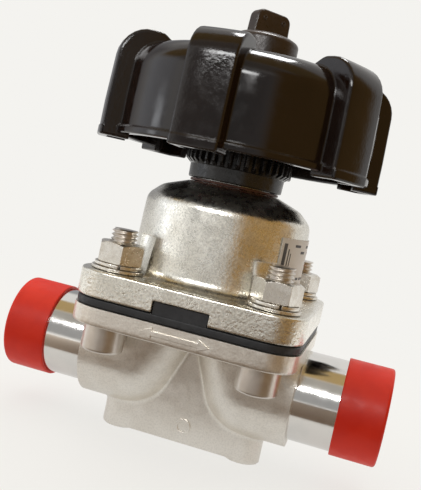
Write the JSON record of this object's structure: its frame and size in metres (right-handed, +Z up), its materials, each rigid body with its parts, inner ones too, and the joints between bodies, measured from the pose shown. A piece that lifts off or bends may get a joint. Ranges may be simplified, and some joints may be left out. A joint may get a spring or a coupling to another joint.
{
  "type": "diaphragm valve",
  "caption": "Hand-operated weir diaphragm valve: cast body with two plain tube ends and push-on caps, bolted bonnet, lobed handwheel with a lock knob on a toothed neck.",
  "frame": {"origin": "on the stem's axis, at the level of the two feet that the valve stands on", "axes": "+Z up along the stem towards the handwheel; X along the pipe; -Y is the front, where the flow arrow is"},
  "size_m": [0.1258, 0.0942, 0.1432],
  "materials": {
    "cast_steel": "satin",
    "polished_tube": "polished",
    "red_plastic": "satin",
    "membrane_rubber": "moulded rubber",
    "turned_steel": "turned",
    "bright_bonnet": "polished",
    "stainless_bolt": "gloss",
    "red_brown_ring": "satin",
    "black_plastic": "gloss",
    "brass_bush": "turned",
    "seal_rubber": "moulded rubber",
    "wheel_plastic": "gloss",
    "label_white": "satin film"
  },
  "bodies": {
    "valve": {"valve_body": "cast_steel", "spigot_left": "polished_tube", "spigot_right": "polished_tube", "diaphragm": "membrane_rubber", "bonnet": "bright_bonnet", "neck_ring": "red_brown_ring", "neck_collar": "black_plastic", "spindle_bush": "brass_bush", "bush_seal": "seal_rubber", "guide_pin_a": "turned_steel", "guide_pin_b": "turned_steel", "label_plate": "label_white", "cap_screw_fl": "stainless_bolt", "cap_screw_fr": "stainless_bolt", "cap_screw_bl": "stainless_bolt", "cap_screw_br": "stainless_bolt", "nut_fl": "stainless_bolt", "nut_fr": "stainless_bolt", "nut_bl": "stainless_bolt", "nut_br": "stainless_bolt", "flat_washer_fl": "stainless_bolt", "flat_washer_fr": "stainless_bolt", "flat_washer_bl": "stainless_bolt", "flat_washer_br": "stainless_bolt", "lock_washer_fl": "stainless_bolt", "lock_washer_fr": "stainless_bolt", "lock_washer_bl": "stainless_bolt", "lock_washer_br": "stainless_bolt"},
    "compressor": {"compressor": "turned_steel", "diaphragm_stud": "turned_steel", "compressor_pin_a": "turned_steel", "compressor_pin_b": "turned_steel"},
    "handwheel": {"handwheel": "wheel_plastic", "spindle": "turned_steel", "hub_insert": "brass_bush", "hub_washer": "turned_steel", "hub_screw": "turned_steel", "guide_clip": "turned_steel", "guide_screw_a": "turned_steel", "guide_screw_b": "turned_steel"},
    "lock_knob": {"lock_knob": "black_plastic", "lock_cam": "turned_steel"},
    "lock_pawl": {"lock_pawl": "turned_steel"},
    "cap_left": {"cap_left": "red_plastic"},
    "cap_right": {"cap_right": "red_plastic"}
  },
  "joints": [
    {"name": "stem_lift", "type": "slide", "parent": "valve", "child": "compressor", "axis": [0, 0, 1], "range_m": [-0.006, 0], "deforming": ["diaphragm"]},
    {"name": "handwheel_turn", "type": "hinge", "parent": "compressor", "child": "handwheel", "pos_m": [0, 0, 0.1], "axis": [0, 0, 1], "range_deg": [-720, 0]},
    {"name": "lock_turn", "type": "hinge", "parent": "handwheel", "child": "lock_knob", "pos_m": [0, 0, 0.13], "axis": [0, 0, 1], "range_deg": [0, 90]},
    {"name": "pawl_slide", "type": "slide", "parent": "handwheel", "child": "lock_pawl", "axis": [0.4226, -0.9063, 0], "range_m": [0, 0.003]},
    {"name": "cap_left_pull", "type": "slide", "parent": "valve", "child": "cap_left", "axis": [-1, 0, 0], "range_m": [0, 0.03]},
    {"name": "cap_right_pull", "type": "slide", "parent": "valve", "child": "cap_right", "axis": [1, 0, 0], "range_m": [0, 0.03]}
  ],
  "couplings": [
    {"joint": "stem_lift", "follows": "handwheel_turn", "m_per_rad": 0.00047746},
    {"joint": "pawl_slide", "follows": "lock_turn", "m_per_rad": 0.0019098}
  ]
}
